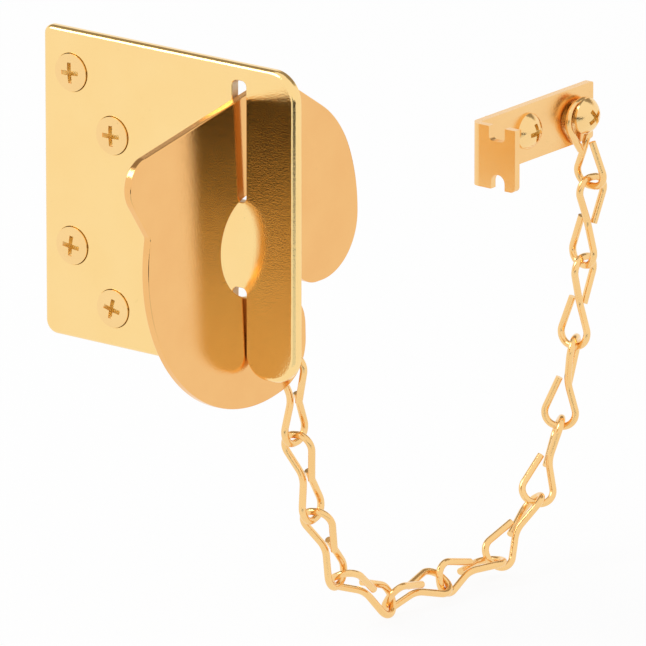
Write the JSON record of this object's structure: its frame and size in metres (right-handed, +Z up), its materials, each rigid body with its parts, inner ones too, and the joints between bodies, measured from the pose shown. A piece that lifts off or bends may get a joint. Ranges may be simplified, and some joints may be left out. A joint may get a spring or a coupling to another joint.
{
  "type": "security door bolt",
  "caption": "Slotted jamb plate with a round turning bolt plate that hooks through its slots, tied by a jack chain to a small notched holder bracket.",
  "frame": {"origin": "middle of the jamb plate's back face, which lies on the jamb", "axes": "+Y out of that back face into the jamb, +X towards the slotted free side, +Z up"},
  "size_m": [0.0721, 0.1564, 0.1348],
  "materials": {
    "plate_brass": "polished",
    "bolt_brass": "polished",
    "bracket_brass": "polished",
    "screw_brass": "polished",
    "chain_brass": "polished"
  },
  "bodies": {
    "jamb": {"jamb_plate": "plate_brass", "plate_screw_1": "screw_brass", "plate_screw_2": "screw_brass", "plate_screw_3": "screw_brass", "plate_screw_4": "screw_brass"},
    "bolt": {"bolt_plate": "bolt_brass"},
    "chain_link_01": {"chain_link_01": "chain_brass"},
    "chain_link_02": {"chain_link_02": "chain_brass"},
    "chain_link_03": {"chain_link_03": "chain_brass"},
    "chain_link_04": {"chain_link_04": "chain_brass"},
    "chain_link_05": {"chain_link_05": "chain_brass"},
    "chain_link_06": {"chain_link_06": "chain_brass"},
    "chain_link_07": {"chain_link_07": "chain_brass"},
    "chain_link_08": {"chain_link_08": "chain_brass"},
    "chain_link_09": {"chain_link_09": "chain_brass"},
    "chain_link_10": {"chain_link_10": "chain_brass"},
    "chain_link_11": {"chain_link_11": "chain_brass"},
    "chain_ring_link": {"chain_ring_link": "chain_brass"},
    "bracket": {"holder_bracket": "bracket_brass", "bracket_screw_1": "screw_brass", "bracket_screw_2": "screw_brass"}
  },
  "joints": [
    {"name": "bolt_turn", "type": "hinge", "parent": "jamb", "child": "bolt", "pos_m": [0.01933, 0.0017, -0.006], "axis": [0.9997, 0, 0.0244], "range_deg": [-29, 132.5]},
    {"name": "chain_link_01_swing", "type": "hinge", "parent": "bolt", "child": "chain_link_01", "pos_m": [0.01998, 0.01388, -0.03339], "axis": [0.9997, -0.0017, 0.0244], "range_deg": [-3, 60]},
    {"name": "chain_link_02_swing", "type": "hinge", "parent": "chain_link_01", "child": "chain_link_02", "pos_m": [0.02035, 0.01522, -0.05184], "axis": [-0.9915, -0.0463, -0.1213], "range_deg": [-25, 25]},
    {"name": "chain_link_03_swing", "type": "hinge", "parent": "chain_link_02", "child": "chain_link_03", "pos_m": [0.02242, 0.01904, -0.06982], "axis": [0.984, 0.1414, 0.1082], "range_deg": [-25, 25]},
    {"name": "chain_link_04_swing", "type": "hinge", "parent": "chain_link_03", "child": "chain_link_04", "pos_m": [0.02294, 0.02698, -0.08648], "axis": [-0.8774, -0.1669, -0.4497], "range_deg": [-25, 25]},
    {"name": "chain_link_05_swing", "type": "hinge", "parent": "chain_link_04", "child": "chain_link_05", "pos_m": [0.02469, 0.04264, -0.09613], "axis": [0.5296, -0.0111, 0.8482], "range_deg": [-22, 25]},
    {"name": "chain_link_06_swing", "type": "hinge", "parent": "chain_link_05", "child": "chain_link_06", "pos_m": [0.02532, 0.06113, -0.09631], "axis": [-0.1563, -0.0061, 0.9877], "range_deg": [-2, 25]},
    {"name": "chain_link_07_swing", "type": "hinge", "parent": "chain_link_06", "child": "chain_link_07", "pos_m": [0.02615, 0.07969, -0.09662], "axis": [0.5592, 0.4716, -0.6818], "range_deg": [-25, 2]},
    {"name": "chain_link_08_swing", "type": "hinge", "parent": "chain_link_07", "child": "chain_link_08", "pos_m": [0.02615, 0.09514, -0.08639], "axis": [-0.7621, -0.5622, 0.3211], "range_deg": [-25, 25]},
    {"name": "chain_link_09_swing", "type": "hinge", "parent": "chain_link_08", "child": "chain_link_09", "pos_m": [0.02458, 0.10602, -0.07154], "axis": [0.9024, 0.4048, -0.1474], "range_deg": [-25, 25]},
    {"name": "chain_link_10_swing", "type": "hinge", "parent": "chain_link_09", "child": "chain_link_10", "pos_m": [0.02634, 0.10886, -0.05334], "axis": [-0.9991, -0.0124, 0.0403], "range_deg": [-25, 25]},
    {"name": "chain_link_11_swing", "type": "hinge", "parent": "chain_link_10", "child": "chain_link_11", "pos_m": [0.02702, 0.11116, -0.035], "axis": [0.9751, -0.2102, -0.0702], "range_deg": [-25, 25]},
    {"name": "chain_ring_link_swing", "type": "hinge", "parent": "chain_link_11", "child": "chain_ring_link", "pos_m": [0.02847, 0.1116, -0.01657], "axis": [-1, 0, 0], "range_deg": [-25, 25]},
    {"name": "bracket_swing", "type": "hinge", "parent": "chain_ring_link", "child": "bracket", "pos_m": [0.02847, 0.10781, 0.00048], "axis": [1, 0, 0], "range_deg": [-20, 20]}
  ]
}
